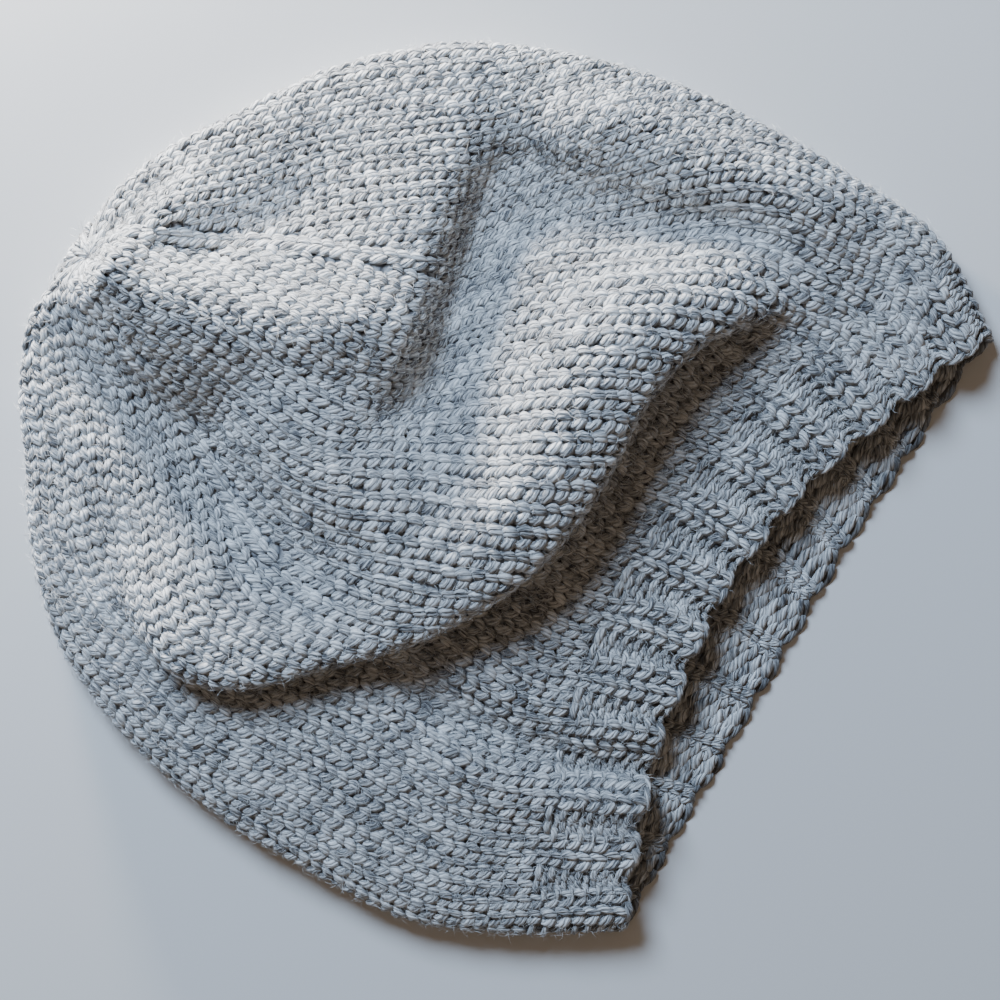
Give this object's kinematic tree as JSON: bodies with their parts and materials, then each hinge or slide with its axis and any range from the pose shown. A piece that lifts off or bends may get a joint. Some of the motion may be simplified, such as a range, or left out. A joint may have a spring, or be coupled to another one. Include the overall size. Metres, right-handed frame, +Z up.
{
  "type": "knitted beanie",
  "caption": "Slouchy knitted beanie lying flat, upper layer in deep folds, with a 2x2 ribbed brim and a drawn-up tip.",
  "frame": {"origin": "on the surface that the hat lies on, under the middle of its box", "axes": "+Z up from that surface, -Y out of the hat's mouth, +X across the brim to the right as seen from the mouth"},
  "size_m": [0.264, 0.2538, 0.044],
  "materials": {
    "ribbed_wool": "matt heather-grey plied wool, 2x2 rib",
    "plain_wool": "matt heather-grey plied wool, stockinette"
  },
  "bodies": {
    "root": {"brim": "ribbed_wool", "crown": "plain_wool"}
  },
  "joints": []
}
